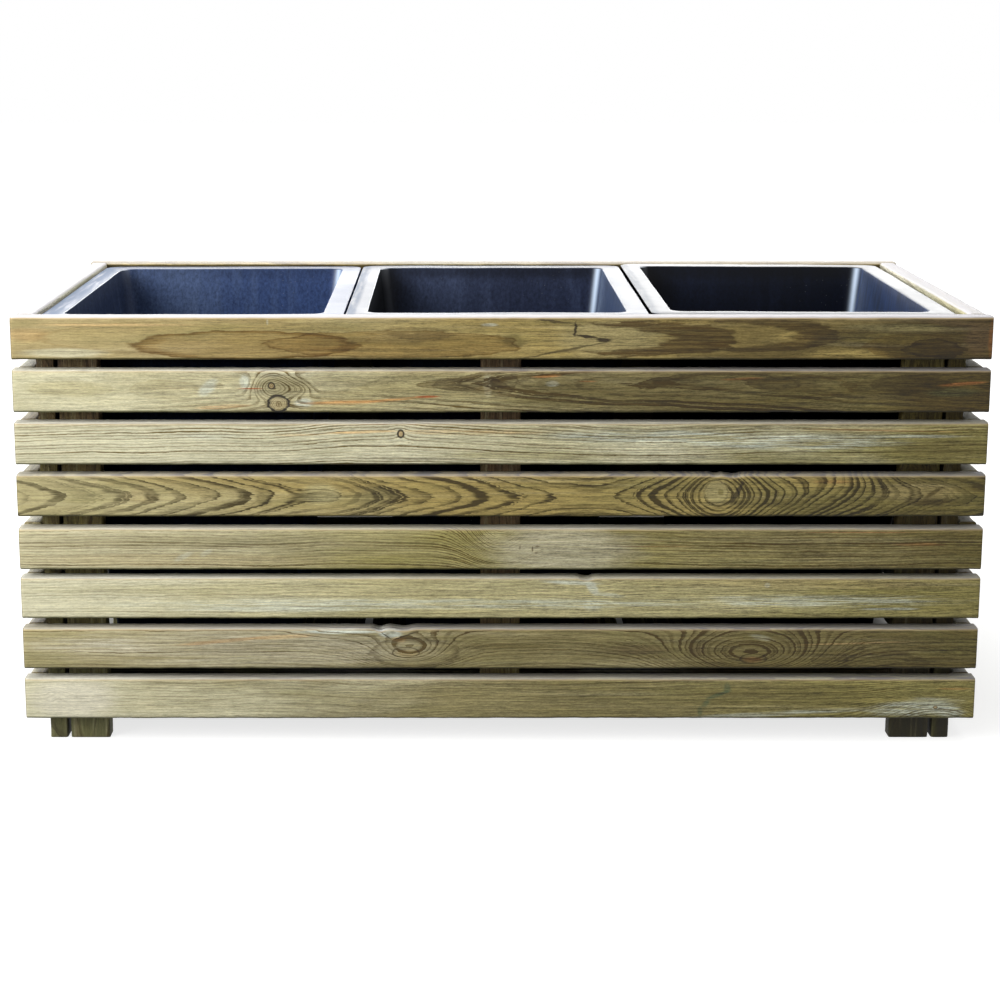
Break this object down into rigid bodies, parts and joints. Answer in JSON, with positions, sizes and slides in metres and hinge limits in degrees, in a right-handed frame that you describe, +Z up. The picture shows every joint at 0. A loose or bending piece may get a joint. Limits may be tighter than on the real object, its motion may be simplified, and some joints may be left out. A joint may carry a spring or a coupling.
{
  "type": "rectangular wooden planter",
  "caption": "Long slatted softwood planter box on batten feet, holding a row of lift-out tapered black plastic pots.",
  "frame": {"origin": "on the ground, under the middle of the planter", "axes": "+X along the length, the front panel faces -Y, +Z up"},
  "size_m": [1, 0.45, 0.458],
  "materials": {
    "slat_wood": "planed, pressure-treated softwood, pale olive tan, uneven from board to board",
    "batten_wood": "planed, pressure-treated softwood, darker olive brown",
    "pot_plastic": "black moulded plastic, satin, with a fine moulded texture",
    "screw_steel": "zinc-plated countersunk screw heads"
  },
  "bodies": {
    "box": {"front_slat_1": "slat_wood", "front_slat_2": "slat_wood", "front_slat_3": "slat_wood", "front_slat_4": "slat_wood", "front_slat_5": "slat_wood", "front_slat_6": "slat_wood", "front_slat_7": "slat_wood", "front_slat_8": "slat_wood", "back_slat_1": "slat_wood", "back_slat_2": "slat_wood", "back_slat_3": "slat_wood", "back_slat_4": "slat_wood", "back_slat_5": "slat_wood", "back_slat_6": "slat_wood", "back_slat_7": "slat_wood", "back_slat_8": "slat_wood", "left_slat_1": "slat_wood", "left_slat_2": "slat_wood", "left_slat_3": "slat_wood", "left_slat_4": "slat_wood", "left_slat_5": "slat_wood", "left_slat_6": "slat_wood", "left_slat_7": "slat_wood", "left_slat_8": "slat_wood", "right_slat_1": "slat_wood", "right_slat_2": "slat_wood", "right_slat_3": "slat_wood", "right_slat_4": "slat_wood", "right_slat_5": "slat_wood", "right_slat_6": "slat_wood", "right_slat_7": "slat_wood", "right_slat_8": "slat_wood", "front_batten_left": "batten_wood", "front_batten_middle": "batten_wood", "front_batten_right": "batten_wood", "left_batten_front": "batten_wood", "right_batten_front": "batten_wood", "back_batten_left": "batten_wood", "back_batten_middle": "batten_wood", "back_batten_right": "batten_wood", "left_batten_back": "batten_wood", "right_batten_back": "batten_wood", "floor_bearer_front": "batten_wood", "floor_bearer_back": "batten_wood", "floor_board_1": "batten_wood", "floor_board_2": "batten_wood", "floor_board_3": "batten_wood", "floor_board_4": "batten_wood", "floor_board_5": "batten_wood", "floor_board_6": "batten_wood", "floor_board_7": "batten_wood", "floor_board_8": "batten_wood", "floor_board_9": "batten_wood"},
    "pot_left": {"pot_left": "pot_plastic"},
    "pot_middle": {"pot_middle": "pot_plastic"},
    "pot_right": {"pot_right": "pot_plastic"}
  },
  "joints": [
    {"name": "pot_left_lift", "type": "slide", "parent": "box", "child": "pot_left", "axis": [0, 0, 1], "range_m": [0, 0.42]},
    {"name": "pot_middle_lift", "type": "slide", "parent": "box", "child": "pot_middle", "axis": [0, 0, 1], "range_m": [0, 0.42]},
    {"name": "pot_right_lift", "type": "slide", "parent": "box", "child": "pot_right", "axis": [0, 0, 1], "range_m": [0, 0.42]}
  ]
}
